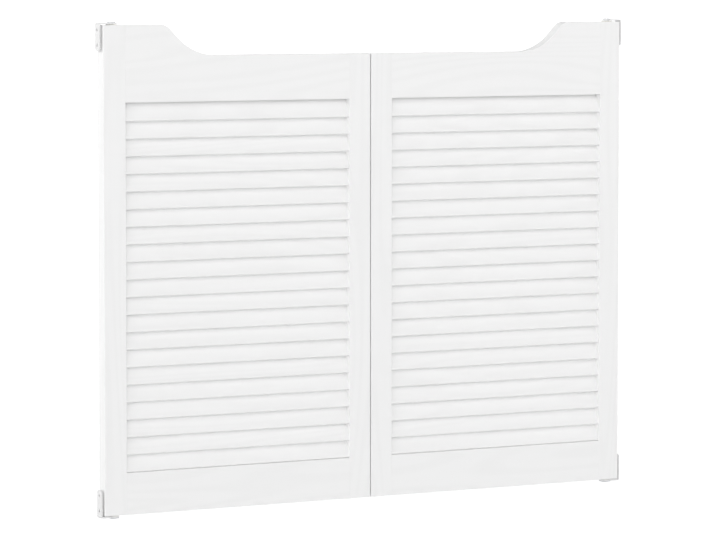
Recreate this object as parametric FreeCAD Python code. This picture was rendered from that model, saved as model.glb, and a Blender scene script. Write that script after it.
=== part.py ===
"""A pair of louvred cafe swinging doors on hidden double-action spring pivots.

Frame: millimetres, +Z up. The origin lies midway between the two leaves, in the middle of their thickness,
at the level of the lowest metal. The front of the doors faces -Y, and the left leaf lies at -X.

Wooden pieces are built for the left leaf and mirrored for the right one. The metal and nylon pieces are
the same on both sides, so for the right side they are turned half round about the Z axis.
"""

import FreeCAD
import Part
import math
import os

from FreeCAD import Vector

# ---------------------------------------------------------------- leaves
pair_width = 1000.0         # over both leaves, from outer edge to outer edge
stile_height = 800.0        # hinge stile, which is also the tallest point of a leaf
leaf_thickness = 22.0
meeting_gap = 2.0           # open line between the two leaves
stile_width = 40.0
stile_ease = 1.2            # rounding of the long outer edges of the stiles
arris = 0.6                 # narrow bevel on the edges around the louvres and along the foot

# ---------------------------------------------------------------- top and bottom rails
scoop_depth = 50.0          # how far the middle of the pair lies below the shoulders
rail_under_scoop = 76.0     # top rail below the scoop
bottom_rail_height = 69.0
shoulder_length = 115.0     # level run from the outer edge to the slope, before rounding
scoop_slope = 45.0          # degrees, steepness of the straight run of the scoop
shoulder_round = 22.0
scoop_radius = 95.0
top_bevel = 1.0             # bevel of the edges along the top of a leaf

# ---------------------------------------------------------------- joinery
tenon_thickness = 8.0
tenon_shoulder = 10.0       # wood left above and below a tenon
mortise_clearance = 0.1
mortise_spare = 0.5         # room past the end of a tenon
mortise_web = 2.5           # wood between a tenon mortise and the spring case

# ---------------------------------------------------------------- louvres
slat_count = 21
slat_thickness = 6.0
slat_tilt = 24.5            # degrees from upright, the front edge low
slat_recess = 1.5           # how far the slat edges lie behind the stile faces
slat_bevel = 1.2            # along all four long edges
sill_gap = 2.5              # between the lowest slat's front edge and the bottom rail
tongue_length = 6.0
tongue_cheek = 1.0          # step from slat face to tongue face
tongue_step = 4.0           # step from slat edge to tongue edge
housing_clearance = 0.1

# ---------------------------------------------------------------- pivot bushes
pivot_radius = 4.0          # top pin and spindle journal
running_clearance = 0.05
bush_radius = 6.5
bush_length = 14.0
bush_flange_radius = 9.0
bush_flange = 1.0
bush_bore_spare = 3.0       # bore left open past the end of the top bush

# ---------------------------------------------------------------- spring case and spring
case_wall = 1.0             # least wall, at the middle of each flat
case_end = 2.0
strip_thickness = 0.45      # spiral spring, wound from flat strip
strip_height = 26.0
strip_inner_radius = 4.0    # to the middle of the strip
strip_gap = 0.7             # open space between one turn and the next
half_turns = 4
strip_margin = 1.0          # room above and below the strip
tab_height = 7.0            # the two ends of the strip that are bent over
slot_clearance = 0.1

# ---------------------------------------------------------------- brackets
plate = 2.5
bracket_width = 16.0
bracket_leg = 46.0
bend_radius = 1.0           # inside of the bend
corner_clip = 3.0
swing_clearance = 0.6       # between the turning corner of a stile and a bracket
top_gap = 0.5               # between the top bush and its bracket
screw_radius = 2.25
countersink_radius = 4.0
screw_spacing = 25.0
screw_end_margin = 9.0

# ---------------------------------------------------------------- pins and spindles
head_radius = 6.5
head_thickness = 1.5
pin_reach = 13.0            # past the end of the stile
spindle_flange_width = 15.0
spindle_flange = 1.5
square_clearance = 0.05
spindle_tip_radius = 3.2

# ---------------------------------------------------------------- worked out
leaf_width = (pair_width - meeting_gap) / 2
half_thickness = leaf_thickness / 2
outer_x = -pair_width / 2
inner_x = outer_x + leaf_width
hinge_shoulder_x = outer_x + stile_width
meeting_shoulder_x = inner_x - stile_width

pivot_x = outer_x + stile_width / 2
case_half = bush_radius + case_wall
tenon_length = stile_width / 2 - case_half - mortise_web - mortise_spare

bracket_under = spindle_flange
bracket_over = bracket_under + plate
leaf_bottom = bracket_over + bush_flange
leaf_top = leaf_bottom + stile_height
scoop_level = leaf_top - scoop_depth
top_bracket_under = leaf_top + bush_flange + top_gap

louvre_bottom = leaf_bottom + bottom_rail_height
louvre_top = scoop_level - rail_under_scoop
slat_pitch = (louvre_top - louvre_bottom - sill_gap) / slat_count

tilt = math.radians(slat_tilt)
slat_flat = (half_thickness - slat_recess - slat_thickness / 2 * math.cos(tilt)) / math.sin(tilt)
slat_width = 2 * (slat_flat + slat_bevel)
slat_rise = slat_flat * math.cos(tilt) - slat_thickness / 2 * math.sin(tilt)

swing_radius = math.hypot(stile_width / 2 - stile_ease, half_thickness - stile_ease) + stile_ease
leg_inner_x = pivot_x - swing_radius - swing_clearance
jamb_x = leg_inner_x - plate

strip_bottom = leaf_bottom + bush_length + strip_margin
strip_top = strip_bottom + strip_height
tab_top = strip_bottom + tab_height
case_ceiling = strip_top + strip_margin
case_top = case_ceiling + case_end
half_turn_growth = (strip_thickness + strip_gap) / 2


# ---------------------------------------------------------------- helpers
def same(a, b):
    """Whether two lengths are equal but for rounding."""
    return abs(a - b) < 1e-6


def block(x_low, x_high, y_low, y_high, z_low, z_high):
    """A box given by its two corners."""
    return Part.makeBox(x_high - x_low, y_high - y_low, z_high - z_low, Vector(x_low, y_low, z_low))


def post(radius, z_low, z_high):
    """An upright cylinder on the pivot axis."""
    return Part.makeCylinder(radius, z_high - z_low, Vector(pivot_x, 0, z_low))


def square_post(half_width, z_low, z_high):
    """An upright square bar on the pivot axis."""
    return block(pivot_x - half_width, pivot_x + half_width, -half_width, half_width, z_low, z_high)


def face_edges(shape, wanted):
    """Edges in the front or the back face for which wanted(box) is true."""
    found = []
    for edge in shape.Edges:
        box = edge.BoundBox
        if same(box.YLength, 0) and same(abs(box.YMin), half_thickness) and wanted(box):
            found.append(edge)
    return found


def upright_edges(shape, x):
    """Upright edges at one x."""
    return face_edges(shape, lambda box: same(box.XLength, 0) and same(box.XMin, x))


def level_edges(shape, z):
    """Level edges at one height."""
    return face_edges(shape, lambda box: same(box.ZLength, 0) and same(box.ZMin, z))


def outline_edges(shape, z_low):
    """Edges that lie wholly above z_low and aren't upright."""
    return face_edges(shape, lambda box: box.ZMin > z_low and not same(box.XLength, 0))


def on_right(shape):
    """The right leaf's copy of a wooden piece of the left leaf."""
    return shape.mirror(Vector(0, 0, 0), Vector(1, 0, 0))


def turned(shape):
    """The right-hand copy of a metal or nylon piece."""
    copy = shape.copy()
    copy.rotate(Vector(0, 0, 0), Vector(0, 0, 1), 180)
    return copy


# ---------------------------------------------------------------- louvre slats
def slat_centre(number):
    """Height of the middle of a slat, counted from 1 at the top."""
    return louvre_top - number * slat_pitch + slat_rise


def slat_section(width, thickness, bevel, x, z):
    """The slanting section of a slat as a face in the plane of one x, centred at height z."""
    up = Vector(0, math.sin(tilt), math.cos(tilt))
    out = Vector(0, -math.cos(tilt), math.sin(tilt))
    middle = Vector(x, 0, z)
    corners = []
    for a, b in ((-1, -1), (1, -1), (1, 1), (-1, 1)):
        end = middle + up * (a * width / 2) + out * (b * (thickness / 2 - bevel))
        side = middle + up * (a * (width / 2 - bevel)) + out * (b * thickness / 2)
        if bevel == 0:
            corners.append(end)
        elif a * b > 0:
            corners += [end, side]
        else:
            corners += [side, end]
    return Part.Face(Part.makePolygon(corners + corners[:1]))


def slat(number):
    """One slat of the left leaf, with a stub tongue at each end."""
    z = slat_centre(number)
    body = slat_section(slat_width, slat_thickness, slat_bevel, hinge_shoulder_x, z)
    body = body.extrude(Vector(meeting_shoulder_x - hinge_shoulder_x, 0, 0))
    width = slat_width - 2 * tongue_step
    thickness = slat_thickness - 2 * tongue_cheek
    tongue = slat_section(width, thickness, 0, hinge_shoulder_x - tongue_length, z)
    length = meeting_shoulder_x - hinge_shoulder_x + 2 * tongue_length
    return body.fuse(tongue.extrude(Vector(length, 0, 0))).removeSplitter()


def tongue_housings(x_low, x_high):
    """The slots that take the slat tongues, from one x to another, for every slat."""
    width = slat_width - 2 * tongue_step + 2 * housing_clearance
    thickness = slat_thickness - 2 * tongue_cheek + 2 * housing_clearance
    housings = []
    for number in range(1, slat_count + 1):
        section = slat_section(width, thickness, 0, x_low, slat_centre(number))
        housings.append(section.extrude(Vector(x_high - x_low, 0, 0)))
    return housings


def slat_groove(number):
    """The groove in a rail for the edge of the slat next to it."""
    width = slat_width + 2 * housing_clearance
    thickness = slat_thickness + 2 * housing_clearance
    section = slat_section(width, thickness, 0, hinge_shoulder_x, slat_centre(number))
    return section.extrude(Vector(meeting_shoulder_x - hinge_shoulder_x, 0, 0))


# ---------------------------------------------------------------- rails
def tenon(x_low, x_high, z_low, z_high, clearance=0.0):
    """A tenon, or with a clearance the mortise that takes it."""
    half = tenon_thickness / 2 + clearance
    return block(x_low, x_high, -half, half, z_low - clearance, z_high + clearance)


def tenon_heights(rail_bottom, rail_top):
    """Lowest and highest level of the tenon at a rail end of the given height."""
    return rail_bottom + tenon_shoulder, rail_top - tenon_shoulder


def scoop_profile():
    """Front outline of the top rail: level shoulder, slope, and a hollow that runs out level."""
    slope = math.radians(scoop_slope)
    tangent = math.tan(slope / 2)
    top_corner = Vector(outer_x + shoulder_length, 0, leaf_top)
    low_corner = Vector(top_corner.x + scoop_depth / math.tan(slope), 0, scoop_level)
    down = Vector(math.cos(slope), 0, -math.sin(slope))
    level = Vector(1, 0, 0)

    round_start = top_corner - level * (shoulder_round * tangent)
    round_end = top_corner + down * (shoulder_round * tangent)
    hollow_start = low_corner - down * (scoop_radius * tangent)
    hollow_end = low_corner + level * (scoop_radius * tangent)
    mid_turn = Vector(math.sin(slope / 2), 0, math.cos(slope / 2))
    round_middle = round_start + Vector(0, 0, -shoulder_round) + mid_turn * shoulder_round
    hollow_middle = hollow_end + Vector(0, 0, scoop_radius) - mid_turn * scoop_radius

    left = hinge_shoulder_x
    right = meeting_shoulder_x
    return Part.Wire([
        Part.LineSegment(Vector(left, 0, louvre_top), Vector(left, 0, leaf_top)).toShape(),
        Part.LineSegment(Vector(left, 0, leaf_top), round_start).toShape(),
        Part.Arc(round_start, round_middle, round_end).toShape(),
        Part.LineSegment(round_end, hollow_start).toShape(),
        Part.Arc(hollow_start, hollow_middle, hollow_end).toShape(),
        Part.LineSegment(hollow_end, Vector(right, 0, scoop_level)).toShape(),
        Part.LineSegment(Vector(right, 0, scoop_level), Vector(right, 0, louvre_top)).toShape(),
        Part.LineSegment(Vector(right, 0, louvre_top), Vector(left, 0, louvre_top)).toShape(),
    ])


def top_rail():
    """Scooped top rail with a stub tenon at each end."""
    face = Part.Face(scoop_profile())
    face.translate(Vector(0, -half_thickness, 0))
    rail = face.extrude(Vector(0, leaf_thickness, 0))
    rail = rail.makeChamfer(top_bevel, outline_edges(rail, louvre_top))
    rail = rail.makeChamfer(arris, level_edges(rail, louvre_top))
    hinge_low, hinge_high = tenon_heights(louvre_top, leaf_top)
    meeting_low, meeting_high = tenon_heights(louvre_top, scoop_level)
    rail = rail.fuse(tenon(hinge_shoulder_x - tenon_length, hinge_shoulder_x, hinge_low, hinge_high))
    rail = rail.fuse(tenon(meeting_shoulder_x, meeting_shoulder_x + tenon_length, meeting_low, meeting_high))
    return rail.cut(slat_groove(1)).removeSplitter()


def bottom_rail():
    """Bottom rail with a stub tenon at each end."""
    rail = block(hinge_shoulder_x, meeting_shoulder_x, -half_thickness, half_thickness,
                 leaf_bottom, louvre_bottom)
    rail = rail.makeChamfer(arris, level_edges(rail, louvre_bottom) + level_edges(rail, leaf_bottom))
    low, high = tenon_heights(leaf_bottom, louvre_bottom)
    rail = rail.fuse(tenon(hinge_shoulder_x - tenon_length, meeting_shoulder_x + tenon_length, low, high))
    return rail.cut(slat_groove(slat_count)).removeSplitter()


# ---------------------------------------------------------------- stiles
def stile(outer, inner, z_top):
    """A plain stile from its outer edge, which is rounded, to its inner edge, which is bevelled."""
    x_low, x_high = sorted((outer, inner))
    shape = block(x_low, x_high, -half_thickness, half_thickness, leaf_bottom, z_top)
    shape = shape.makeChamfer(top_bevel, level_edges(shape, z_top))
    shape = shape.makeChamfer(arris, level_edges(shape, leaf_bottom))
    shape = shape.makeFillet(stile_ease, upright_edges(shape, outer))
    return shape.makeChamfer(arris, upright_edges(shape, inner))


def hinge_stile():
    """Outer upright, bored at the top for a bush and mortised at the foot for the spring case."""
    shape = stile(outer_x, hinge_shoulder_x, leaf_top)
    mortise_x = hinge_shoulder_x - tenon_length - mortise_spare
    cuts = [
        post(bush_radius, leaf_top - bush_length - bush_bore_spare, leaf_top),
        square_post(case_half, leaf_bottom, case_top),
        tenon(mortise_x, hinge_shoulder_x, *tenon_heights(louvre_top, leaf_top), mortise_clearance),
        tenon(mortise_x, hinge_shoulder_x, *tenon_heights(leaf_bottom, louvre_bottom), mortise_clearance),
    ]
    cuts += tongue_housings(hinge_shoulder_x - tongue_length, hinge_shoulder_x)
    return shape.cut(cuts).removeSplitter()


def meeting_stile():
    """Inner upright, as high as the bottom of the scoop."""
    shape = stile(inner_x, meeting_shoulder_x, scoop_level)
    mortise_x = meeting_shoulder_x + tenon_length + mortise_spare
    cuts = [
        tenon(meeting_shoulder_x, mortise_x, *tenon_heights(louvre_top, scoop_level), mortise_clearance),
        tenon(meeting_shoulder_x, mortise_x, *tenon_heights(leaf_bottom, louvre_bottom), mortise_clearance),
    ]
    cuts += tongue_housings(meeting_shoulder_x, meeting_shoulder_x + tongue_length)
    return shape.cut(cuts).removeSplitter()


# ---------------------------------------------------------------- pivot pieces inside the hinge stile
def pivot_bush(end, into):
    """Flanged bush in a stile end. The bush runs into the wood in the direction given, +1 up or -1 down."""
    bore = pivot_radius + running_clearance
    body_low, body_high = sorted((end, end + into * bush_length))
    flange_low, flange_high = sorted((end, end - into * bush_flange))
    bush = post(bush_radius, body_low, body_high).fuse(post(bush_flange_radius, flange_low, flange_high))
    return bush.cut(post(bore, min(body_low, flange_low), max(body_high, flange_high))).removeSplitter()


def pivot_bushes():
    """The two bushes of one leaf."""
    return Part.makeCompound([pivot_bush(leaf_top, -1), pivot_bush(leaf_bottom, 1)])


def spiral_end():
    """Distance from the pivot axis to the middle of the strip at its outer end."""
    last_radius = strip_inner_radius + (half_turns - 1) * half_turn_growth
    return last_radius + half_turn_growth / 2


def tab(x_low, x_high, clearance=0.0):
    """A bent end of the strip, lying along X, or with a clearance the slot that holds it."""
    half = strip_thickness / 2 + clearance
    return block(x_low, x_high, -half, half, strip_bottom - clearance, tab_top + clearance)


def outer_tab(reach, clearance=0.0):
    """The outer bent end, from the last turn out to a given distance from the axis."""
    side = 1 if half_turns % 2 == 0 else -1
    x_low, x_high = sorted((pivot_x + side * spiral_end(), pivot_x + side * reach))
    return tab(x_low, x_high, clearance)


def spring_case():
    """Square case in the foot of the hinge stile, with a slot in its wall for the end of the spring."""
    case = square_post(case_half, leaf_bottom, case_top)
    case = case.cut(post(bush_radius, leaf_bottom, case_ceiling))
    return case.cut(outer_tab(case_half, slot_clearance)).removeSplitter()


def closing_spring():
    """Spiral spring of flat strip, drawn as half turns that grow about two centres in turn."""
    half = strip_thickness / 2
    inner_edge = []
    outer_edge = []
    for number in range(half_turns):
        radius = strip_inner_radius + number * half_turn_growth
        side = 1 if number % 2 == 0 else -1
        centre = Vector(pivot_x - side * half_turn_growth / 2, 0, strip_bottom)
        for edge, r in ((inner_edge, radius - half), (outer_edge, radius + half)):
            start = centre + Vector(side * r, 0, 0)
            top = centre + Vector(0, side * r, 0)
            finish = centre - Vector(side * r, 0, 0)
            edge.append((start, Part.Arc(start, top, finish).toShape(), finish))
    first = Part.LineSegment(outer_edge[0][0], inner_edge[0][0]).toShape()
    last = Part.LineSegment(inner_edge[-1][2], outer_edge[-1][2]).toShape()
    edges = [first] + [e[1] for e in inner_edge] + [last] + [e[1] for e in reversed(outer_edge)]
    strip = Part.Face(Part.Wire(edges)).extrude(Vector(0, 0, strip_height))
    start_x = pivot_x + strip_inner_radius - half_turn_growth / 2
    inner_tab = tab(pivot_x - spindle_tip_radius, start_x)
    return strip.fuse([inner_tab, outer_tab(case_half)]).removeSplitter()


# ---------------------------------------------------------------- brackets
def angle_strip(tongue_under, tongue_over, leg_end):
    """Bent strip: a tongue over the pivot and a leg along the jamb, as a solid of full width."""
    bend_side = 1 if leg_end > tongue_over else -1
    outer_z = tongue_under if bend_side > 0 else tongue_over
    inner_z = outer_z + bend_side * plate
    tip = pivot_x + bracket_width / 2
    outer_bend = bend_radius + plate
    diagonal = math.sqrt(0.5)
    centre = Vector(jamb_x + outer_bend, 0, outer_z + bend_side * outer_bend)
    toward = Vector(-diagonal, 0, -bend_side * diagonal)
    outline = Part.Wire([
        Part.LineSegment(Vector(tip, 0, outer_z), Vector(centre.x, 0, outer_z)).toShape(),
        Part.Arc(Vector(centre.x, 0, outer_z), centre + toward * outer_bend,
                 Vector(jamb_x, 0, centre.z)).toShape(),
        Part.LineSegment(Vector(jamb_x, 0, centre.z), Vector(jamb_x, 0, leg_end)).toShape(),
        Part.LineSegment(Vector(jamb_x, 0, leg_end), Vector(leg_inner_x, 0, leg_end)).toShape(),
        Part.LineSegment(Vector(leg_inner_x, 0, leg_end), Vector(leg_inner_x, 0, centre.z)).toShape(),
        Part.Arc(Vector(leg_inner_x, 0, centre.z), centre + toward * bend_radius,
                 Vector(centre.x, 0, inner_z)).toShape(),
        Part.LineSegment(Vector(centre.x, 0, inner_z), Vector(tip, 0, inner_z)).toShape(),
        Part.LineSegment(Vector(tip, 0, inner_z), Vector(tip, 0, outer_z)).toShape(),
    ])
    face = Part.Face(outline)
    face.translate(Vector(0, -bracket_width / 2, 0))
    return face.extrude(Vector(0, bracket_width, 0))


def free_corners(shape, leg_end):
    """The edges through the plate at the four free corners of a bracket."""
    tongue_tip = pivot_x + bracket_width / 2
    found = []
    for edge in shape.Edges:
        box = edge.BoundBox
        at_side = same(box.YLength, 0) and same(abs(box.YMin), bracket_width / 2)
        at_tip = same(box.XLength, 0) and same(box.XMin, tongue_tip)
        at_leg_end = same(box.ZLength, 0) and same(box.ZMin, leg_end)
        if at_side and (at_tip or at_leg_end):
            found.append(edge)
    return found


def screw_levels(leg_end, side):
    """Heights of the two screw holes of a leg that ends at leg_end and runs up (+1) or down (-1)."""
    last = leg_end - side * screw_end_margin
    return last - side * screw_spacing, last


def bracket(tongue_under, side):
    """Angle bracket whose leg runs up (+1) or down (-1) from its tongue."""
    tongue_over = tongue_under + plate
    outer_z = tongue_under if side > 0 else tongue_over
    leg_end = outer_z + side * bracket_leg
    shape = angle_strip(tongue_under, tongue_over, leg_end)
    shape = shape.makeChamfer(corner_clip, free_corners(shape, leg_end))
    for z in screw_levels(leg_end, side):
        start = Vector(jamb_x, 0, z)
        shape = shape.cut(Part.makeCylinder(screw_radius, plate, start, Vector(1, 0, 0)))
        depth = countersink_radius - screw_radius
        mouth = Vector(leg_inner_x - depth, 0, z)
        shape = shape.cut(Part.makeCone(screw_radius, countersink_radius, depth, mouth, Vector(1, 0, 0)))
    return shape


def top_bracket():
    """Upper bracket, with a round hole for the top pin."""
    shape = bracket(top_bracket_under, -1)
    hole = pivot_radius + running_clearance
    return shape.cut(post(hole, top_bracket_under, top_bracket_under + plate))


def bottom_bracket():
    """Lower bracket, with a square hole that keeps the spindle from turning."""
    shape = bracket(bracket_under, 1)
    return shape.cut(square_post(pivot_radius + square_clearance, bracket_under, bracket_over))


# ---------------------------------------------------------------- pins and spindles
def top_pin():
    """Headed pin through the upper bracket into the top bush."""
    head_low = top_bracket_under + plate
    head = post(head_radius, head_low, head_low + head_thickness)
    return head.fuse(post(pivot_radius, leaf_top - pin_reach, head_low)).removeSplitter()


def bottom_spindle():
    """Spindle pushed up through the lower bracket: square flange and shank, journal and slotted tip."""
    flange = square_post(spindle_flange_width / 2, 0, bracket_under)
    square = square_post(pivot_radius, bracket_under, bracket_over)
    journal = post(pivot_radius, bracket_over, leaf_bottom + bush_length)
    tip = post(spindle_tip_radius, leaf_bottom + bush_length, tab_top)
    slot = tab(pivot_x - pivot_radius, pivot_x + pivot_radius, slot_clearance)
    return flange.fuse([square, journal, tip]).cut(slot).removeSplitter()


# ---------------------------------------------------------------- the whole pair
def pair_of(shape):
    """A piece of hardware and its turned copy, as one group."""
    return Part.makeCompound(shape.Solids + turned(shape).Solids)


def collect():
    """Every node by name."""
    nodes = {}
    wooden = {
        "hinge_stile": hinge_stile(),
        "meeting_stile": meeting_stile(),
        "top_rail": top_rail(),
        "bottom_rail": bottom_rail(),
    }
    for number in range(1, slat_count + 1):
        wooden["slat_%02d" % number] = slat(number)
    for name, shape in wooden.items():
        nodes["left_" + name] = shape
        nodes["right_" + name] = on_right(shape)
    hidden = {
        "pivot_bushes": pivot_bushes(),
        "spring_case": spring_case(),
    }
    for name, shape in hidden.items():
        nodes["left_" + name] = shape
        nodes["right_" + name] = turned(shape)
    nodes["top_brackets"] = pair_of(top_bracket())
    nodes["bottom_brackets"] = pair_of(bottom_bracket())
    nodes["top_pins"] = pair_of(top_pin())
    nodes["bottom_spindles"] = pair_of(bottom_spindle())
    nodes["closing_springs"] = pair_of(closing_spring())
    return nodes


def main():
    """Write one file for each node."""
    os.makedirs("parts", exist_ok=True)
    for name, shape in collect().items():
        if not shape.isValid():
            print("not valid:", name)
        shape.exportStep("parts/%s.step" % name)
    print("jamb plane x", round(jamb_x, 3), "slat width", round(slat_width, 2), "pitch", round(slat_pitch, 3))


main()
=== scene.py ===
"""Looks, light and camera for a pair of louvred cafe swinging doors in white painted pine.

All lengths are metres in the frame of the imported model: +Z up, the front of the doors at -Y, the left leaf
at -X. The wooden pieces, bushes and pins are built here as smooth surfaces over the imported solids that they
stand for. The brackets and spindles keep their packed outline and get softened edges. The cases and springs
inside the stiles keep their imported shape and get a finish.
"""

from __future__ import annotations

import logging
import math
from dataclasses import dataclass, field, replace
from enum import Enum
from typing import Any, ClassVar, Union

import bmesh
import bpy
import numpy as np
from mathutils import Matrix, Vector
from numpy.typing import NDArray


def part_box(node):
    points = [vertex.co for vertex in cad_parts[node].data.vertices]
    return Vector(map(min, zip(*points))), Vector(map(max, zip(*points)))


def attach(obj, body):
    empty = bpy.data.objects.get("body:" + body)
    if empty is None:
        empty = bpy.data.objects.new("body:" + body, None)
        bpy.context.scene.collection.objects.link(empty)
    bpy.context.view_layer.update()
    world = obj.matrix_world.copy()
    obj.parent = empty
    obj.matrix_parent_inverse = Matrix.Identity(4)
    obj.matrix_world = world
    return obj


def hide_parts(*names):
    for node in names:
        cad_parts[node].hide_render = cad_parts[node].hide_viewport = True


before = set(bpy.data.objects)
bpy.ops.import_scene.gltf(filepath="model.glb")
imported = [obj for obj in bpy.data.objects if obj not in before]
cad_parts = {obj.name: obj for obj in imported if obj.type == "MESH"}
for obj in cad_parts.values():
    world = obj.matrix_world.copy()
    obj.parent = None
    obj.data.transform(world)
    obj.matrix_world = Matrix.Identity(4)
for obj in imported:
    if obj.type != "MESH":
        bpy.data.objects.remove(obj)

LOG = logging.getLogger("cafe_doors")
Points = NDArray[np.float64]
Span = tuple[float, float]
Triple = tuple[float, float, float]
Colour = tuple[float, float, float, float]

MM = 0.001
EDGE_STEPS = 7  # points on each rounded edge of a board
EDGE_HOLD = 0.3 * MM  # run beside a rounded edge that is held flat
MERGE_DISTANCE = 1e-6  # points nearer than this become one
SIDES = ("left", "right")
WHITE: Colour = (1.0, 1.0, 1.0, 1.0)
BLACK: Colour = (0.0, 0.0, 0.0, 1.0)


# ---- outlines and surfaces
def soft_corners(corners: Points, radii: Points, steps: int, hold: float, closed: bool) -> Points:
    """Rounds the corners of a flat path.

    At a corner where the path turns by an angle t, the arc of radius r starts and ends r tan(t / 2) from the
    corner. Its centre lies at r square to the way in, and its points follow by turning the first radius
    through shares of t. One more point at each end of the arc holds the straight run beside it flat, at most
    a third of the way to the next arc.

    Args:
        corners: Corner points, one row of two numbers each.
        radii: Radius at each corner. The ends of an open path stay as they are.
        steps: Number of points on each arc.
        hold: Distance from an arc's end to its holding point.
        closed: Whether the last corner joins the first.

    Returns:
        The points of the rounded path, one row of two numbers each.
    """
    inner = corners if closed else corners[1:-1]
    radius = (radii if closed else radii[1:-1])[:, None]
    before = np.roll(corners, 1, axis=0) if closed else corners[:-2]
    after = np.roll(corners, -1, axis=0) if closed else corners[2:]
    way_in, way_out = inner - before, after - inner
    length_in = np.linalg.norm(way_in, axis=1)[:, None]
    length_out = np.linalg.norm(way_out, axis=1)[:, None]
    way_in, way_out = way_in / length_in, way_out / length_out
    cross = way_in[:, 0] * way_out[:, 1] - way_in[:, 1] * way_out[:, 0]
    turn = np.arctan2(cross, np.sum(way_in * way_out, axis=1))[:, None]
    reach = radius * np.tan(np.abs(turn) / 2)
    around = np.pad(reach, ((1, 1), (0, 0)), mode="wrap" if closed else "constant")
    square = np.stack([-way_in[:, 1], way_in[:, 0]], axis=1) * np.sign(turn)
    centre = inner - way_in * reach + square * radius
    angle = turn * np.linspace(0.0, 1.0, steps)[None, :]
    first = -square * radius
    arc_x = centre[:, :1] + first[:, :1] * np.cos(angle) - first[:, 1:] * np.sin(angle)
    arc_y = centre[:, 1:] + first[:, :1] * np.sin(angle) + first[:, 1:] * np.cos(angle)
    arcs = np.stack([arc_x, arc_y], axis=2)
    lead = arcs[:, :1] - (way_in * np.clip((length_in - reach - around[:-2]) / 3, 0.0, hold))[:, None]
    trail = arcs[:, -1:] + (way_out * np.clip((length_out - reach - around[2:]) / 3, 0.0, hold))[:, None]
    path = np.concatenate([lead, arcs, trail], axis=1).reshape(-1, 2)
    return path if closed else np.concatenate([corners[:1], path, corners[-1:]])


def soft_box(low: Points, high: Points, radii: Points) -> Points:
    """A rectangle from its low to its high corner with its corners rounded.

    Args:
        low: Lowest corner.
        high: Highest corner.
        radii: Radius at the corners low-low, high-low, high-high and low-high.

    Returns:
        The points of the outline, one row of two numbers each.
    """
    corners = np.array([[low[0], low[1]], [high[0], low[1]], [high[0], high[1]], [low[0], high[1]]])
    return soft_corners(corners, np.asarray(radii, float), EDGE_STEPS, EDGE_HOLD, closed=True)


@dataclass(frozen=True)
class Surface:
    """A closed surface: rings of points, each ring joined to the next one.

    Attributes:
        rings: Points by ring, place on the ring, and coordinate.
        endless: Whether the last ring joins the first one. Otherwise each end ring is closed by a fan.
        sharp_angle: Edges that turn by more than this many degrees stay crisp.
    """

    rings: Points
    endless: bool = False
    sharp_angle: float = 35.0

    def faces(self) -> list[list[int]]:
        """Quads between ring i, place j and ring i + 1, place j + 1, and the two fans about the poles.

        Returns:
            The numbers of each face's points, counted as points() gives them.
        """
        count, places = self.rings.shape[:2]
        index = np.arange(count * places).reshape(count, places)
        beside = np.roll(index, -1, axis=1)
        if self.endless:
            above, above_beside = np.roll(index, -1, axis=0), np.roll(beside, -1, axis=0)
            return np.stack([index, beside, above_beside, above], axis=-1).reshape(-1, 4).tolist()
        quads = np.stack([index[:-1], beside[:-1], beside[1:], index[1:]], axis=-1).reshape(-1, 4)
        low_pole = np.full(places, count * places)
        high_pole = low_pole + 1
        low_fan = np.stack([beside[0], index[0], low_pole], axis=-1)
        high_fan = np.stack([index[-1], beside[-1], high_pole], axis=-1)
        return quads.tolist() + low_fan.tolist() + high_fan.tolist()

    def points(self) -> Points:
        """All ring points, and for a capped surface the middle of the first and of the last ring.

        Returns:
            The points, one row of three numbers each.
        """
        flat = self.rings.reshape(-1, 3)
        if self.endless:
            return flat
        return np.concatenate([flat, self.rings[:1].mean(axis=1), self.rings[-1:].mean(axis=1)])

    def mesh(self, name: str) -> bpy.types.Mesh:
        """The surface as a smooth mesh whose faces point outwards.

        Args:
            name: Name of the mesh.

        Returns:
            The mesh, its crisp edges marked.
        """
        mesh = bpy.data.meshes.new(name)
        mesh.from_pydata(self.points().tolist(), [], self.faces())
        shell = bmesh.new()
        shell.from_mesh(mesh)
        bmesh.ops.remove_doubles(shell, verts=shell.verts, dist=MERGE_DISTANCE)
        bmesh.ops.recalc_face_normals(shell, faces=shell.faces)
        shell.to_mesh(mesh)
        shell.free()
        mesh.shade_smooth()
        mesh.set_sharp_from_angle(angle=math.radians(self.sharp_angle))
        return mesh


def add_piece(mesh: bpy.types.Mesh, node: str, body: str, finish: "Finish") -> bpy.types.Object:
    """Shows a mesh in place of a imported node.

    Args:
        mesh: The finished mesh, which gives the piece its name.
        node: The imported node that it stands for.
        body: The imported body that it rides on.
        finish: What it is made of.

    Returns:
        The new object.
    """
    piece = bpy.data.objects.new(mesh.name, mesh)
    bpy.context.scene.collection.objects.link(piece)
    mesh.materials.append(finish.material())
    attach(piece, body)
    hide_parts(node)
    LOG.info("piece %s stands for %s: %d faces, %s", piece.name, node, len(mesh.polygons), finish.slot)
    return piece


# ---- shader tools
Socket = bpy.types.NodeSocket
Operand = Union["Value", float]


@dataclass(frozen=True)
class Pattern:
    """A smooth noise with one feature to each cycle.

    Attributes:
        cycles: Cycles per metre along x, y and z.
        detail: Number of finer layers on top of the first.
        rough: Strength of each finer layer against the one before it.
    """

    cycles: Triple
    detail: float
    rough: float = 0.5

    @classmethod
    def even(cls, cycles: float, detail: float) -> "Pattern":
        """A pattern with as many cycles along every axis."""
        return cls((cycles, cycles, cycles), detail)


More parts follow.
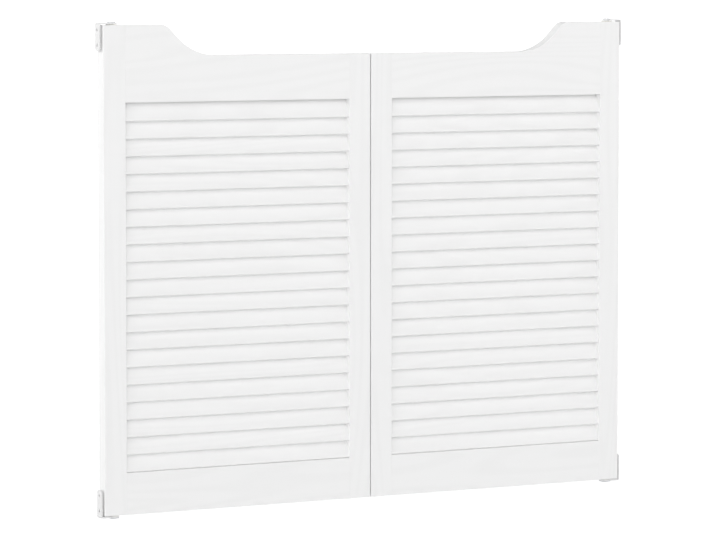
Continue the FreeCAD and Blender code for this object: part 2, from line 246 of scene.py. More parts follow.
class Value:
    """A number that changes over a surface: one output socket that takes part in arithmetic."""

    def __init__(self, wiring: "Wiring", socket: Socket) -> None:
        """Wraps one socket of a node tree."""
        self.wiring = wiring
        self.socket = socket

    def _with(self, operation: str, *operands: Operand) -> "Value":
        """The result of a Math node on the operands in their order."""
        inputs = dict(enumerate(operands))
        return self.wiring.node("ShaderNodeMath", {"operation": operation}, inputs)

    def __add__(self, other: Operand) -> "Value":
        """This plus other."""
        return self._with("ADD", self, other)

    def __radd__(self, other: Operand) -> "Value":
        """Other plus this."""
        return self._with("ADD", other, self)

    def __sub__(self, other: Operand) -> "Value":
        """This less other."""
        return self._with("SUBTRACT", self, other)

    def __rsub__(self, other: Operand) -> "Value":
        """Other less this."""
        return self._with("SUBTRACT", other, self)

    def __mul__(self, other: Operand) -> "Value":
        """This times other."""
        return self._with("MULTIPLY", self, other)

    def __rmul__(self, other: Operand) -> "Value":
        """Other times this."""
        return self._with("MULTIPLY", other, self)

    def sine(self) -> "Value":
        """The sine of this angle in radians."""
        return self._with("SINE", self)

    def between(self, low: float, high: float) -> "Value":
        """0 below low, 1 above high, and a smooth step between them."""
        inputs = {"Value": self, "From Min": low, "From Max": high}
        return self.wiring.node("ShaderNodeMapRange", {"interpolation_type": "SMOOTHSTEP"}, inputs)


class Wiring:
    """A node tree that nodes are added to.

    Attributes:
        blend_inputs: Numbers of a Mix node's two colour inputs, whose names it gives to other inputs too.
        blend_output: Number of its colour output.
    """

    blend_inputs: ClassVar[tuple[int, int]] = (6, 7)
    blend_output: ClassVar[int] = 2

    def __init__(self, tree: bpy.types.NodeTree) -> None:
        """Takes the tree of a material or of the world."""
        self.tree = tree

    def put(self, target: Socket, source: Any) -> None:
        """Links a value to a socket, or sets the socket to something plain.

        Args:
            target: The input socket.
            source: The value to link, or the number or colour to set.
        """
        if isinstance(source, Value):
            self.tree.links.new(source.socket, target)
        else:
            target.default_value = source

    def node(self, kind: str, settings: dict[str, Any], inputs: dict[Any, Any], output: Any = 0) -> Value:
        """Adds a node.

        Args:
            kind: Blender's name for the type of node.
            settings: Its properties, such as a Math node's operation, which are set first.
            inputs: Values or links by the name or the number of the input.
            output: Name or number of the output that is wanted.

        Returns:
            The wanted output as a value.
        """
        made = self.tree.nodes.new(kind)
        for key, setting in settings.items():
            setattr(made, key, setting)
        for key, source in inputs.items():
            self.put(made.inputs[key], source)
        return Value(self, made.outputs[output])

    def part(self, vector: Value, axis: str) -> Value:
        """One part of a vector: X, Y or Z."""
        return self.node("ShaderNodeSeparateXYZ", {}, {"Vector": vector}, axis)

    def place(self, cycles: Triple = (1.0, 1.0, 1.0), shift: Triple = (0.0, 0.0, 0.0)) -> Value:
        """Object coordinates in cycles: each coordinate times its cycles, plus its shift.

        Args:
            cycles: Cycles per metre along each axis.
            shift: Cycles that are added along each axis.

        Returns:
            The place as a vector.
        """
        coordinates = self.node("ShaderNodeTexCoord", {}, {}, "Object")
        inputs = {"Vector": coordinates, "Location": shift, "Scale": cycles}
        return self.node("ShaderNodeMapping", {"vector_type": "POINT"}, inputs)

    def noise(self, pattern: Pattern, shift: Triple = (0.0, 0.0, 0.0)) -> Value:
        """A pattern over the surface, from 0 to 1.

        Args:
            pattern: The noise.
            shift: Cycles that it is moved by along each axis.

        Returns:
            The noise.
        """
        where = self.place(pattern.cycles, shift)
        inputs = {"Vector": where, "Scale": 1.0, "Detail": pattern.detail, "Roughness": pattern.rough}
        return self.node("ShaderNodeTexNoise", {"noise_dimensions": "3D"}, inputs)

    def blend(self, share: Operand, first: Any, second: Any) -> Value:
        """The first colour where the share is 0, the second where it is 1."""
        inputs = {"Factor": share, **dict(zip(self.blend_inputs, (first, second)))}
        return self.node("ShaderNodeMix", {"data_type": "RGBA"}, inputs, self.blend_output)

    def relief(self, height: Value, depth: float) -> Value:
        """Surface normals for a height from 0 to 1 that stands for a depth in metres."""
        return self.node("ShaderNodeBump", {}, {"Strength": 1.0, "Distance": depth, "Height": height})


class Shader(Wiring):
    """One material's node tree with its surface shader."""

    def __init__(self, name: str) -> None:
        """Starts an empty material with a Principled shader.

        Args:
            name: Name of the material.
        """
        self.material = bpy.data.materials.new(name)
        self.material.use_nodes = True
        super().__init__(self.material.node_tree)
        self.tree.nodes.clear()
        self.surface = self.tree.nodes.new("ShaderNodeBsdfPrincipled")
        output = self.tree.nodes.new("ShaderNodeOutputMaterial")
        self.tree.links.new(self.surface.outputs["BSDF"], output.inputs["Surface"])

    def finish(self, **inputs: Any) -> bpy.types.Material:
        """Sets the surface shader's inputs.

        Args:
            **inputs: Values, numbers or colours by the name of the input, with _ for a space.

        Returns:
            The material.
        """
        for name, source in inputs.items():
            self.put(self.surface.inputs[name.replace("_", " ")], source)
        return self.material


# ---- finishes
class Grain(Enum):
    """Which way the grain of a board runs."""

    UPRIGHT = "upright"
    LEVEL = "level"


class Finish:
    """What a piece is made of: one material, made once and shared.

    Attributes:
        slot: Its name, which for a piece is the record's material slot.
    """

    slot: str
    _made: ClassVar[dict[str, bpy.types.Material]] = {}

    def name(self) -> str:
        """The material's name."""
        return self.slot

    def build(self, shader: Shader) -> bpy.types.Material:
        """Wires the empty shader and returns its material. Each finish has its own way."""
        raise NotImplementedError

    def material(self) -> bpy.types.Material:
        """The material, built at its first use.

        Returns:
            The material that all pieces of this finish share.
        """
        name = self.name()
        if name not in Finish._made:
            Finish._made[name] = self.build(Shader(name))
        return Finish._made[name]


@dataclass(frozen=True)
class PaintedPine(Finish):
    """Satin white paint over planed pine, with the grain faintly raised and faint brush marks along it.

    Attributes:
        grain: The way the grain runs.
        shift: Cycles that the patterns are moved by, so that kinds of board differ.
        colours: Colours of the paint on soft early wood and on hard late wood.
        figure: Slow pattern that the growth lines follow. It and the next two are for upright grain.
        fibres: Pattern of the fibres.
        brush: Pattern of the brush marks.
        mottle: Pattern of the sheen.
        figure_lines: Number of growth lines from a low to a high of the figure.
        line_edges: Sines of the figure where a growth line starts and where it is full.
        tone_shares: Shares of growth lines, fibres and brush marks in the colour.
        height_shares: Their shares in the raised grain.
        roughness: Least roughness, and what the mottle and the fibres add to it.
        relief_depth: Height of the raised grain.
    """

    grain: Grain
    shift: Triple = (0.0, 0.0, 0.0)
    slot: str = "white_pine"
    colours: tuple[Colour, Colour] = ((0.9, 0.9, 0.9, 1.0), (0.87, 0.87, 0.869, 1.0))
    figure: Pattern = Pattern((11.0, 11.0, 0.9), 1.0)
    fibres: Pattern = Pattern((900.0, 900.0, 14.0), 3.0, 0.6)
    brush: Pattern = Pattern((240.0, 240.0, 4.0), 2.0)
    mottle: Pattern = Pattern.even(14.0, 3.0)
    figure_lines: float = 16.0
    line_edges: Span = (-0.4, 1.0)
    tone_shares: Triple = (0.45, 0.35, 0.2)
    height_shares: Triple = (0.4, 0.35, 0.25)
    roughness: Triple = (0.36, 0.12, 0.06)
    relief_depth: float = 0.05 * MM

    def name(self) -> str:
        """The material's name, one for each kind of board."""
        return "%s_%s_%d" % (self.slot, self.grain.value, round(self.shift[0] * 100))

    def laid(self, pattern: Pattern) -> Pattern:
        """Turns a pattern so that it is drawn out along this grain.

        Args:
            pattern: The pattern for upright grain.

        Returns:
            The pattern on this board.
        """
        if self.grain is Grain.UPRIGHT:
            return pattern
        across, _, along = pattern.cycles
        return replace(pattern, cycles=(along, across, across))

    @staticmethod
    def mixed(shares: Triple, lines: Value, fibres: Value, brush: Value) -> Value:
        """Growth lines, fibres and brush marks, each times its share, added up."""
        return lines * shares[0] + fibres * shares[1] + brush * shares[2]

    def build(self, shader: Shader) -> bpy.types.Material:
        """Growth lines are the sine of the figure. Fibres, brush marks and mottle are plain noises.

        Args:
            shader: The empty shader.

        Returns:
            The material.
        """
        figure = shader.noise(self.laid(self.figure), self.shift)
        lines = (figure * (2 * math.pi * self.figure_lines)).sine().between(*self.line_edges)
        fibres = shader.noise(self.laid(self.fibres), self.shift)
        brush = shader.noise(self.laid(self.brush), self.shift)
        mottle = shader.noise(self.mottle, self.shift)
        tone = self.mixed(self.tone_shares, lines, fibres, brush)
        height = self.mixed(self.height_shares, lines, fibres, brush)
        least, by_mottle, by_fibres = self.roughness
        return shader.finish(
            Base_Color=shader.blend(tone, *self.colours),
            Roughness=least + mottle * by_mottle + fibres * by_fibres,
            Normal=shader.relief(height, self.relief_depth),
        )


@dataclass(frozen=True)
class CloudedFinish(Finish):
    """A finish that drifts slowly between two colours and has fine marks that also roughen it.

    Attributes:
        colours: Colours at the low and at the high of the cloud.
        cloud: Pattern of the drift.
        marks: Pattern of the fine marks.
        roughness: Least roughness, and what the marks and the cloud add to it.
        relief_depth: Height of the marks.
        edges: Values of the cloud where the second colour starts and is full, if not at its low and high.
        metallic: 1 for bare metal, otherwise 0.
    """

    slot: str
    colours: tuple[Colour, Colour]
    cloud: Pattern
    marks: Pattern
    roughness: Triple
    relief_depth: float
    edges: Span | None = None
    metallic: float = 0.0

    def build(self, shader: Shader) -> bpy.types.Material:
        """The cloud blends the colours, the marks are the relief, and both add to the least roughness.

        Args:
            shader: The empty shader.

        Returns:
            The material.
        """
        cloud, marks = shader.noise(self.cloud), shader.noise(self.marks)
        share = cloud.between(*self.edges) if self.edges else cloud
        least, by_marks, by_cloud = self.roughness
        return shader.finish(
            Base_Color=shader.blend(share, *self.colours),
            Metallic=self.metallic,
            Roughness=least + marks * by_marks + cloud * by_cloud,
            Normal=shader.relief(marks, self.relief_depth),
        )


@dataclass(frozen=True)
class PowderCoat(CloudedFinish):
    """Satin white powder coat on bent steel plate, thinner in places, with its fine orange peel."""

    slot: str = "white_steel"
    colours: tuple[Colour, Colour] = ((0.8, 0.8, 0.797, 1.0), (0.775, 0.777, 0.78, 1.0))
    cloud: Pattern = Pattern.even(45.0, 2.0)
    marks: Pattern = Pattern.even(900.0, 1.0)
    roughness: Triple = (0.3, 0.16, 0.0)
    relief_depth: float = 0.02 * MM


@dataclass(frozen=True)
class ZincPlate(CloudedFinish):
    """Bright zinc plate with fine turning marks, drawn out level, and a cloudy bloom."""

    slot: str = "zinc_steel"
    colours: tuple[Colour, Colour] = ((0.74, 0.75, 0.76, 1.0), (0.6, 0.62, 0.65, 1.0))
    cloud: Pattern = Pattern.even(160.0, 3.0)
    marks: Pattern = Pattern((60.0, 60.0, 4000.0), 2.0)
    roughness: Triple = (0.24, 0.12, 0.1)
    relief_depth: float = 0.008 * MM
    metallic: float = 1.0


@dataclass(frozen=True)
class TemperedStrip(CloudedFinish):
    """Spring strip whose temper colour drifts from blue to straw, with level rolling marks."""

    slot: str = "spring_steel"
    colours: tuple[Colour, Colour] = ((0.12, 0.15, 0.24, 1.0), (0.3, 0.25, 0.2, 1.0))
    cloud: Pattern = Pattern((220.0, 220.0, 90.0), 2.0)
    marks: Pattern = Pattern((30.0, 30.0, 3500.0), 2.0)
    roughness: Triple = (0.3, 0.15, 0.0)
    relief_depth: float = 0.005 * MM
    edges: Span | None = (0.55, 0.8)
    metallic: float = 1.0


@dataclass(frozen=True)
class NaturalNylon(CloudedFinish):
    """Natural nylon, milky with clearer places, slightly waxy, with a fine moulded grain."""

    slot: str = "nylon"
    colours: tuple[Colour, Colour] = ((0.78, 0.77, 0.71, 1.0), (0.7, 0.69, 0.62, 1.0))
    cloud: Pattern = Pattern.even(120.0, 2.0)
    marks: Pattern = Pattern.even(2500.0, 1.0)
    roughness: Triple = (0.42, 0.1, 0.0)
    relief_depth: float = 0.006 * MM


# ---- wooden pieces
@dataclass(frozen=True)
class Pocket:
    """A hole that runs into the end of a stile.

    Attributes:
        half: Half its width.
        rounding: Radius of its corners; as large as half makes it a round hole.
        depth: How far it runs in.
    """

    half: float
    rounding: float
    depth: float


@dataclass
class Stile:
    """An upright board: a rounded rectangle carried up, with both ends rounded over.

    Attributes:
        node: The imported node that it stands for.
        body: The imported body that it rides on.
        low_ease: Radius of the long edges at the lower x.
        high_ease: Radius of the long edges at the higher x.
        top_round: Radius round the upper end.
        foot_round: Radius round the lower end.
        top_pocket: Hole in the upper end, if it has one.
        foot_pocket: Hole in the lower end, if it has one.
        finish: Its paint.
        least_round: Least radius of the long edges as they pass over an end.
        end_steps: Number of rings over the rounding of an end.
    """

    node: str
    body: str
    low_ease: float
    high_ease: float
    top_round: float = 1.0 * MM
    foot_round: float = 0.6 * MM
    top_pocket: Pocket | None = None
    foot_pocket: Pocket | None = None
    finish: Finish = field(default_factory=lambda: PaintedPine(Grain.UPRIGHT))
    least_round: float = 0.15 * MM
    end_steps: int = 6

    def section(self, low: Vector, high: Vector, inset: float) -> Points:
        """The board's outline drawn in by an inset, each corner radius being less by as much.

        Args:
            low: The board's lowest corner.
            high: The board's highest corner.
            inset: How far the outline is drawn in.

        Returns:
            The outline, one row of x and y each.
        """
        radii = np.array([self.low_ease, self.high_ease, self.high_ease, self.low_ease]) - inset
        corner_low = np.array([low.x, low.y]) + inset
        corner_high = np.array([high.x, high.y]) - inset
        return soft_box(corner_low, corner_high, np.maximum(radii, self.least_round))

    def end(self, level: float, way: int, rounding: float, pocket: Pocket | None) -> list[Points]:
        """Rings from the board's side over an end and into its pocket.

        The edge is a quarter circle: at an angle a the outline is drawn in by r (1 - cos a) and stands
        r (1 - sin a) short of the end.

        Args:
            level: Height of the end.
            way: +1 for the upper end and -1 for the lower one.
            rounding: Radius of the edge.
            pocket: Hole in this end, if there is one.

        Returns:
            The rings in order, from the side inwards.
        """
        low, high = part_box(self.node)
        rings = [self.ring(self.section(low, high, 0.0), level - way * (rounding + EDGE_HOLD))]
        for angle in np.linspace(0.0, math.pi / 2, self.end_steps):
            outline = self.section(low, high, rounding * (1 - math.cos(angle)))
            rings.append(self.ring(outline, level - way * rounding * (1 - math.sin(angle))))
        rings.append(self.ring(self.section(low, high, rounding + EDGE_HOLD), level))
        if pocket:
            middle = np.array([(low.x + high.x) / 2, (low.y + high.y) / 2])
            hole = soft_box(middle - pocket.half, middle + pocket.half, np.full(4, pocket.rounding))
            rings += [self.ring(hole, level), self.ring(hole, level - way * pocket.depth)]
        return rings

    @staticmethod
    def ring(outline: Points, level: float) -> Points:
        """A level outline set at a height."""
        return np.column_stack([outline, np.full(len(outline), level)])

    def build(self) -> None:
        """Makes the board and shows it."""
        low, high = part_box(self.node)
        foot = self.end(low.z, -1, self.foot_round, self.foot_pocket)
        top = self.end(high.z, 1, self.top_round, self.top_pocket)
        rings = np.stack(foot[::-1] + top)
        add_piece(Surface(rings).mesh(self.node + "_board"), self.node, self.body, self.finish)


@dataclass
class Rail:
    """A level board: an upright section carried along X under a top edge that may rise and fall.

    Attributes:
        node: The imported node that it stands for.
        body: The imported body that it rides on.
        crown: Top edge as corner points of x and z.
        crown_radii: Radius at each corner of the crown.
        foot: Height of its lower edge.
        faces: Lowest and highest y.
        top_round: Radius along the top edge.
        foot_round: Radius along the lower edge.
        finish: Its paint.
        crown_steps: Number of points on each arc of the crown.
        crown_hold: Run beside each arc of the crown that is held straight.
    """

    node: str
    body: str
    crown: Points
    crown_radii: Points
    foot: float
    faces: Span
    top_round: float = 1.0 * MM
    foot_round: float = 0.6 * MM
    finish: Finish = field(default_factory=lambda: PaintedPine(Grain.LEVEL))
    crown_steps: int = 24
    crown_hold: float = 0.5 * MM

    def surface(self) -> Surface:
        """The rail as rings along X.

        Each ring is an upright rounded rectangle. Where the crown slopes by an angle a, the points of the
        upper half lie 1 / cos a as deep below the crown as on a level stretch, which keeps the rounding the
        same when it is measured square to the slope.

        Returns:
            The surface, closed at both ends.
        """
        crown = soft_corners(self.crown, self.crown_radii, self.crown_steps, self.crown_hold, closed=False)
        slope = np.gradient(crown[:, 1], crown[:, 0])
        stretch = np.sqrt(1 + slope ** 2)
        level = crown[0, 1]
        radii = np.array([self.foot_round, self.foot_round, self.top_round, self.top_round])
        low = np.array([self.faces[0], self.foot])
        high = np.array([self.faces[1], level])
        section = soft_box(low, high, radii)
        upper = section[:, 1] > (self.foot + level) / 2
        depth = level - section[:, 1]
        heights = np.where(upper, crown[:, 1:] - stretch[:, None] * depth, section[:, 1])
        across = np.broadcast_to(section[:, 0], heights.shape)
        along = np.broadcast_to(crown[:, :1], heights.shape)
        return Surface(np.stack([along, across, heights], axis=-1))

    def build(self) -> None:
        """Makes the board and shows it."""
        add_piece(self.surface().mesh(self.node + "_board"), self.node, self.body, self.finish)


@dataclass
class Louvres:
    """The bank of slanted slats in one leaf.

    Attributes:
        nodes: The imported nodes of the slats, from the top.
        body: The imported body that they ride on.
        shoulders: Lowest and highest x that show, between the stiles.
        thickness: Thickness of a slat.
        width: Width of a slat across its slope.
        tilt: Degrees from upright, the front edge low.
        nose: Radius along the four long edges.
        finish: Their paint.
    """

    nodes: list[str]
    body: str
    shoulders: Span
    thickness: float = 6.0 * MM
    width: float = 35.05 * MM
    tilt: float = 24.5
    nose: float = 2.0 * MM
    finish: Finish = field(default_factory=lambda: PaintedPine(Grain.LEVEL, (0.37, 0.0, 0.0)))

    def section(self) -> Points:
        """A rounded bar about the origin, its upper edge leaning back.

        A point a across and u up goes to (a cos t + u sin t, -a sin t + u cos t) for a tilt t.

        Returns:
            The outline, one row of y and z each.
        """
        half = np.array([self.thickness, self.width]) / 2
        bar = soft_box(-half, half, np.full(4, self.nose))
        turn = math.radians(self.tilt)
        across = bar[:, 0] * math.cos(turn) + bar[:, 1] * math.sin(turn)
        upright = -bar[:, 0] * math.sin(turn) + bar[:, 1] * math.cos(turn)
        return np.column_stack([across, upright])

    def build(self) -> None:
        """Carries the section from stile to stile at the middle of each packed slat."""
        section = self.section()
        for node in self.nodes:
            low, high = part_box(node)
            outline = section + np.array([(low.y + high.y) / 2, (low.z + high.z) / 2])
            ends = [np.column_stack([np.full(len(outline), x), outline]) for x in self.shoulders]
            add_piece(Surface(np.stack(ends)).mesh(node + "_blade"), node, self.body, self.finish)


@dataclass
class Leaf:
    """One leaf: two stiles, a scooped top rail, a bottom rail and the louvres between them.

    Attributes:
        side: "left" or "right".
        slat_count: Number of slats.
        stile_ease: Radius of the long outer edges.
        arris: Radius of the edges round the louvres.
        shoulder_length: Level run from the outer edge to where the scoop starts, before rounding.
        scoop_slope: Degrees of the straight run of the scoop.
        shoulder_round: Radius at the top of the slope.
        scoop_radius: Radius of the hollow at its foot.
        bush_pocket: Hole for the upper bush.
        case_pocket: Hole for the spring case.
    """

    side: str
    slat_count: int = 21
    stile_ease: float = 1.2 * MM
    arris: float = 0.4 * MM
    shoulder_length: float = 115.0 * MM
    scoop_slope: float = 45.0
    shoulder_round: float = 22.0 * MM
    scoop_radius: float = 95.0 * MM
    bush_pocket: Pocket = Pocket(6.5 * MM, 6.5 * MM, 17.0 * MM)
    case_pocket: Pocket = Pocket(7.5 * MM, 0.2 * MM, 44.0 * MM)

    def node(self, piece: str) -> str:
        """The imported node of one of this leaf's pieces."""
        return "%s_%s" % (self.side, piece)

    @property
    def body(self) -> str:
        """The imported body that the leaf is."""
        return self.side + "_leaf"

    @property
    def sign(self) -> int:
        """-1 for the left leaf and +1 for the right one: the way from the middle to the outer edge."""
        return -1 if self.side == "left" else 1

    def shoulders(self) -> Span:
        """The clear width between the stiles.

        Returns:
            Its lowest and highest x.
        """
        hinge_low, hinge_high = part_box(self.node("hinge_stile"))
        meeting_low, meeting_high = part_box(self.node("meeting_stile"))
        if self.sign < 0:
            return hinge_high.x, meeting_low.x
        return meeting_high.x, hinge_low.x

    def stiles(self) -> list[Stile]:
        """The two stiles, each with its softer long edges away from the louvres.

        Returns:
            The outer stile, which holds the pivots, and the meeting stile.
        """
        outer = (self.stile_ease, self.arris)
        inner = (self.arris, self.stile_ease)
        if self.sign > 0:
            outer, inner = inner, outer
        return [
            Stile(self.node("hinge_stile"), self.body, *outer,
                  top_pocket=self.bush_pocket, foot_pocket=self.case_pocket),
            Stile(self.node("meeting_stile"), self.body, *inner),
        ]

    def rails(self) -> list[Rail]:
        """The scooped top rail and the plain bottom rail.

        The slope of the scoop starts at the shoulder's length from the outer edge, and runs inwards as far
        as its drop over the tangent of its angle.

        Returns:
            The top rail and the bottom rail.
        """
        low_x, high_x = self.shoulders()
        stile_low, stile_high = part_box(self.node("hinge_stile"))
        outer_x = stile_low.x if self.sign < 0 else stile_high.x
        louvre_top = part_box(self.node("top_rail"))[0].z
        louvre_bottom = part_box(self.node("bottom_rail"))[1].z
        scoop_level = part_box(self.node("meeting_stile"))[1].z
        drop = stile_high.z - scoop_level
        slope_run = drop / math.tan(math.radians(self.scoop_slope))
        slope_x = outer_x - self.sign * self.shoulder_length
        hollow_x = slope_x - self.sign * slope_run
        hinge_x, meeting_x = (low_x, high_x) if self.sign < 0 else (high_x, low_x)
        crown = np.array([[hinge_x, stile_high.z], [slope_x, stile_high.z],
                          [hollow_x, scoop_level], [meeting_x, scoop_level]])
        radii = np.array([0.0, self.shoulder_round, self.scoop_radius, 0.0])
        flat = np.array([[low_x, louvre_bottom], [high_x, louvre_bottom]])
        faces = (stile_low.y, stile_high.y)
        return [
            Rail(self.node("top_rail"), self.body, crown, radii, louvre_top, faces),
            Rail(self.node("bottom_rail"), self.body, flat, np.zeros(2), stile_low.z, faces,
                 top_round=self.arris),
        ]

    def louvres(self) -> Louvres:
        """The slats between the stiles."""
        names = [self.node("slat_%02d" % number) for number in range(1, self.slat_count + 1)]
        return Louvres(names, self.body, self.shoulders())

    def build(self) -> None:
        """Builds every wooden piece of the leaf."""
        for board in self.stiles() + self.rails():
            board.build()
        self.louvres().build()


# ---- pivots
@dataclass
class Turned:
    """A piece turned on a lathe about an upright axis.

    Attributes:
        name: Name of the piece.
        node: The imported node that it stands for.
        body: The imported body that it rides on.
        axis_x: Place of the axis.
        corners: Half section as corner points of radius and height.
        radii: Radius at each corner of the half section.
        finish: What it is made of.
        hollow: Whether the half section is a closed outline that stays off the axis.
        around: Number of places round the axis.
        edge_steps: Number of points on each rounded edge.
        edge_hold: Run beside a rounded edge that is held flat.
    """

    name: str
    node: str
    body: str
    axis_x: float
    corners: Points
    radii: Points
    finish: Finish
    hollow: bool = False
    around: int = 64
    edge_steps: int = 5
    edge_hold: float = 0.15 * MM

    def build(self) -> None:
        """Turns the half section: a point at radius r and height z goes to (r cos a, r sin a, z)."""
        section = soft_corners(self.corners, self.radii, self.edge_steps, self.edge_hold, closed=self.hollow)
        angle = np.linspace(0.0, 2 * math.pi, self.around, endpoint=False)
        x = self.axis_x + section[:, :1] * np.cos(angle)
        y = section[:, :1] * np.sin(angle)
        z = np.broadcast_to(section[:, 1:], x.shape)
        surface = Surface(np.stack([x, y, z], axis=-1), endless=self.hollow)
        add_piece(surface.mesh(self.name), self.node, self.body, self.finish)


@dataclass
class PivotHardware:
    """Brackets, pins, spindles, bushes, cases and springs of both leaves.

    Attributes:
        fixed_body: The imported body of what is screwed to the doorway.
        pin_radius: Radius of a top pin.
        pin_chamfer: Width and height of the chamfer at its tip.
        head_radius: Radius of its head.
        head_thickness: Thickness of its head.
        pin_rounding: Millimetres of radius at each corner of its half section, from the top of its axis.
        bush_bore: Radius of a bush's bore.
        bush_radius: Radius of a bush's body.
        bush_length: Length of a bush's body.
        flange_radius: Radius of a bush's flange.
        flange: Thickness of a bush's flange.
        bush_rounding: Millimetres of radius at each corner of its half section, from the flange's bore.
        plate_edge: Radius of the softened edges of the plate pieces.
        edge_angle: Degrees from which an edge of a plate piece is softened.
        edge_segments: Number of faces across a softened edge.
        flat_angle: Degrees up to which faces of a plate piece count as one flat face.
    """

    fixed_body: str = "jamb_hardware"
    pin_radius: float = 4.0 * MM
    pin_chamfer: float = 0.8 * MM
    head_radius: float = 6.5 * MM
    head_thickness: float = 1.5 * MM
    pin_rounding: tuple[float, ...] = (0.0, 0.7, 0.2, 0.05, 0.3, 0.3, 0.0)
    bush_bore: float = 4.05 * MM
    bush_radius: float = 6.5 * MM
    bush_length: float = 14.0 * MM
    flange_radius: float = 9.0 * MM
    flange: float = 1.0 * MM
    bush_rounding: tuple[float, ...] = (0.25, 0.3, 0.1, 0.05, 0.3, 0.2)
    plate_edge: float = 0.25 * MM
    edge_angle: float = 30.0
    edge_segments: int = 2
    flat_angle: float = 0.5

    def axis_x(self, side: str) -> float:
        """Place of a leaf's pivot axis, in the middle of its hinge stile."""
        low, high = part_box(side + "_hinge_stile")
        return (low.x + high.x) / 2

    def top_pin(self, side: str) -> Turned:
        """A headed pin, its head softly rounded and its tip chamfered.

        Args:
            side: The leaf that it holds.

        Returns:
            The pin.
        """
        low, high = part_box("top_pins")
        head_low = high.z - self.head_thickness
        corners = np.array([[0.0, high.z], [self.head_radius, high.z], [self.head_radius, head_low],
                            [self.pin_radius, head_low], [self.pin_radius, low.z + self.pin_chamfer],
                            [self.pin_radius - self.pin_chamfer, low.z], [0.0, low.z]])
        return Turned(side + "_top_pin", "top_pins", self.fixed_body, self.axis_x(side), corners,
                      np.array(self.pin_rounding) * MM, ZincPlate())

    def bush(self, side: str, place: str, end: float, way: int) -> Turned:
        """A flanged bush in an end of a hinge stile.

        Args:
            side: The leaf that it is in.
            place: Its place, which is part of its name.
            end: Height of the stile's end.
            way: +1 if its body runs up from there and -1 if it runs down.

        Returns:
            The bush.
        """
        tip = end + way * self.bush_length
        outside = end - way * self.flange
        corners = np.array([[self.bush_bore, outside], [self.flange_radius, outside],
                            [self.flange_radius, end], [self.bush_radius, end],
                            [self.bush_radius, tip], [self.bush_bore, tip]])
        return Turned("%s_%s_bush" % (side, place), side + "_pivot_bushes", side + "_leaf",
                      self.axis_x(side), corners, np.array(self.bush_rounding) * MM, NaturalNylon(),
                      hollow=True)

    def softened(self, node: str, finish: Finish) -> None:
        """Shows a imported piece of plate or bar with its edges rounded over.

        Args:
            node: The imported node.
            finish: What it is made of.
        """
        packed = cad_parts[node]
        shell = bmesh.new()
        shell.from_mesh(packed.data)
        bmesh.ops.remove_doubles(shell, verts=shell.verts, dist=MERGE_DISTANCE)
        flat_angle = math.radians(self.flat_angle)
        bmesh.ops.dissolve_limit(shell, angle_limit=flat_angle, verts=shell.verts, edges=shell.edges)
        mesh = bpy.data.meshes.new(node + "_softened")
        shell.to_mesh(mesh)
        shell.free()
        mesh.shade_smooth()
        piece = add_piece(mesh, node, self.fixed_body, finish)
        edge = piece.modifiers.new("edge", "BEVEL")
        edge.width = self.plate_edge
        edge.segments = self.edge_segments
        edge.limit_method = "ANGLE"
        edge.angle_limit = math.radians(self.edge_angle)
        edge.use_clamp_overlap = False
        edge.harden_normals = True

    def dress(self, node: str, finish: Finish) -> None:
        """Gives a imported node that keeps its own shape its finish.

        Args:
            node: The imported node.
            finish: What it is made of.
        """
        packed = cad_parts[node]
        packed.data.materials.clear()
        packed.data.materials.append(finish.material())
        LOG.info("node %s keeps its shape: %s", node, finish.slot)

    def build(self) -> None:
        """Builds what shows and dresses what is hidden in the stiles."""
        for side in SIDES:
            low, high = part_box(side + "_hinge_stile")
            self.top_pin(side).build()
            self.bush(side, "top", high.z, -1).build()
            self.bush(side, "foot", low.z, 1).build()
            self.dress(side + "_spring_case", ZincPlate())
        self.softened("top_brackets", PowderCoat())
        self.softened("bottom_brackets", PowderCoat())
        self.softened("bottom_spindles", ZincPlate())
        self.dress("closing_springs", TemperedStrip())


# ---- studio
@dataclass(frozen=True)
class Lamp:
    """A wide soft light from far away.

    Attributes:
        name: Its name.
        heading: Degrees that it stands to the left of straight in front.
        height: Degrees that it stands above level.
        strength: Its strength.
        spread: Degrees that it is wide.
    """

    name: str
    heading: float
    height: float
    strength: float
    spread: float = 60.0

    def build(self) -> None:
        """Sets up the lamp. It shines along (sin h, cos h, -tan v) for a heading h and a height v."""
        lamp = bpy.data.lights.new(self.name, "SUN")
        lamp.energy = self.strength
        lamp.angle = math.radians(self.spread)
        heading, height = math.radians(self.heading), math.radians(self.height)
        shining = Vector((math.sin(heading), math.cos(heading), -math.tan(height)))
        holder = bpy.data.objects.new(self.name, lamp)
        holder.rotation_euler = shining.to_track_quat("-Z", "Y").to_euler()
        bpy.context.scene.collection.objects.link(holder)


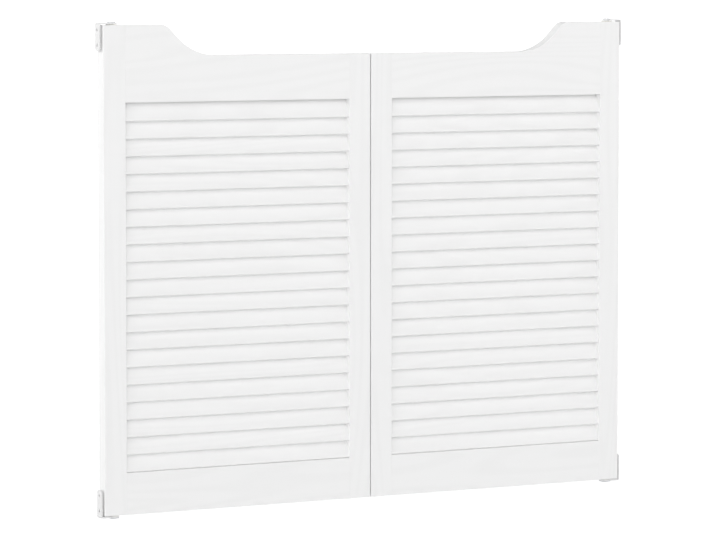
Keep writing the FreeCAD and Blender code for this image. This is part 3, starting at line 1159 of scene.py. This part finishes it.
@dataclass(frozen=True)
class PaleFloor(Finish):
    """Matt pale floor that gives off light behind the doors and far away, so that it stays white there.

    Attributes:
        colour: Its colour.
        grain: Pattern of its sheen.
        roughness: Least roughness, and what the grain adds to it.
        glow: Most light that it gives off.
        behind: Lowest and highest y between which it starts to glow behind the doors.
        around: Distances from the middle between which it starts to glow on all sides.
    """

    slot: str = "pale_floor"
    colour: Colour = (0.8, 0.8, 0.8, 1.0)
    grain: Pattern = Pattern.even(40.0, 2.0)
    roughness: Span = (0.8, 0.1)
    glow: float = 0.5
    behind: Span = (0.5, 2.0)
    around: Span = (5.0, 20.0)

    def build(self, shader: Shader) -> bpy.types.Material:
        """The glow is 1 - (1 - b) (1 - a) for its shares b behind the doors and a far away.

        Args:
            shader: The empty shader.

        Returns:
            The material.
        """
        spot = shader.place()
        behind = shader.part(spot, "Y").between(*self.behind)
        away = shader.node("ShaderNodeVectorMath", {"operation": "LENGTH"}, {0: spot}, "Value")
        glow = 1.0 - (1.0 - behind) * (1.0 - away.between(*self.around))
        least, by_grain = self.roughness
        return shader.finish(
            Base_Color=self.colour,
            Roughness=least + shader.noise(self.grain) * by_grain,
            Emission_Color=shader.blend(glow, BLACK, WHITE),
            Emission_Strength=self.glow,
        )


@dataclass
class Studio:
    """White studio: a pale floor below the hung doors, a white surround, soft lamps and the camera.

    Attributes:
        floor_drop: How far the floor lies below the doors.
        floor_size: Width of the floor.
        floor_finish: What the floor is made of.
        surround: Strength of the white surround at the horizon.
        bright_below: Sine of the height in the sky up to which the surround has its full strength.
        dark_above: Sine of the height in the sky from which it gives no light.
        lamps: The soft lamps.
        camera_place: Where the camera stands.
        camera_heading: Degrees that it is turned to the right of straight ahead.
        camera_dip: Degrees that it looks down.
        lens: Focal length in millimetres.
        sensor: Sensor width in millimetres.
    """

    floor_drop: float = 0.45
    floor_size: float = 60.0
    floor_finish: Finish = PaleFloor()
    surround: float = 1.39
    bright_below: float = 0.3
    dark_above: float = 1.0
    lamps: tuple[Lamp, ...] = (Lamp("soft_front", 45.0, 5.0, 0.86), Lamp("soft_side", 90.0, 45.0, 0.25))
    camera_place: Triple = (-3.37947, -5.85326, 0.88559)
    camera_heading: float = 29.864
    camera_dip: float = 4.2
    lens: float = 201.92
    sensor: float = 36.0

    def world(self) -> None:
        """A white surround that is bright round the horizon and fades overhead."""
        world = bpy.data.worlds.new("white_surround")
        world.use_nodes = True
        background = world.node_tree.nodes["Background"]
        wiring = Wiring(world.node_tree)
        height = wiring.part(wiring.node("ShaderNodeTexCoord", {}, {}, "Generated"), "Z")
        wiring.put(background.inputs["Color"], WHITE)
        strength = self.surround * (1.0 - height.between(self.bright_below, self.dark_above))
        wiring.put(background.inputs["Strength"], strength)
        bpy.context.scene.world = world

    def floor(self) -> None:
        """A wide square floor below the doors."""
        half = self.floor_size / 2
        level = -self.floor_drop
        corners = [(-half, -half, level), (half, -half, level), (half, half, level), (-half, half, level)]
        mesh = bpy.data.meshes.new("floor")
        mesh.from_pydata(corners, [], [(0, 1, 2, 3)])
        mesh.materials.append(self.floor_finish.material())
        floor = bpy.data.objects.new("floor", mesh)
        bpy.context.scene.collection.objects.link(floor)

    def camera(self) -> None:
        """The camera, level from side to side, looking slightly down."""
        camera = bpy.data.cameras.new("camera")
        camera.sensor_width = self.sensor
        camera.lens = self.lens
        holder = bpy.data.objects.new("camera", camera)
        holder.location = self.camera_place
        tilt = math.radians(90.0 - self.camera_dip)
        holder.rotation_euler = (tilt, 0.0, -math.radians(self.camera_heading))
        bpy.context.scene.collection.objects.link(holder)
        bpy.context.scene.camera = holder

    def build(self) -> None:
        """Sets up the whole studio."""
        self.world()
        self.floor()
        for lamp in self.lamps:
            lamp.build()
        self.camera()
        bpy.context.scene.view_settings.view_transform = "Standard"
        LOG.info("studio ready")


def main() -> None:
    """Builds the doors and the studio in order."""
    logging.basicConfig(level=logging.INFO, format="%(name)s: %(message)s")
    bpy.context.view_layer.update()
    for side in SIDES:
        Leaf(side).build()
    PivotHardware().build()
    Studio().build()


if __name__ == "__main__":
    main()
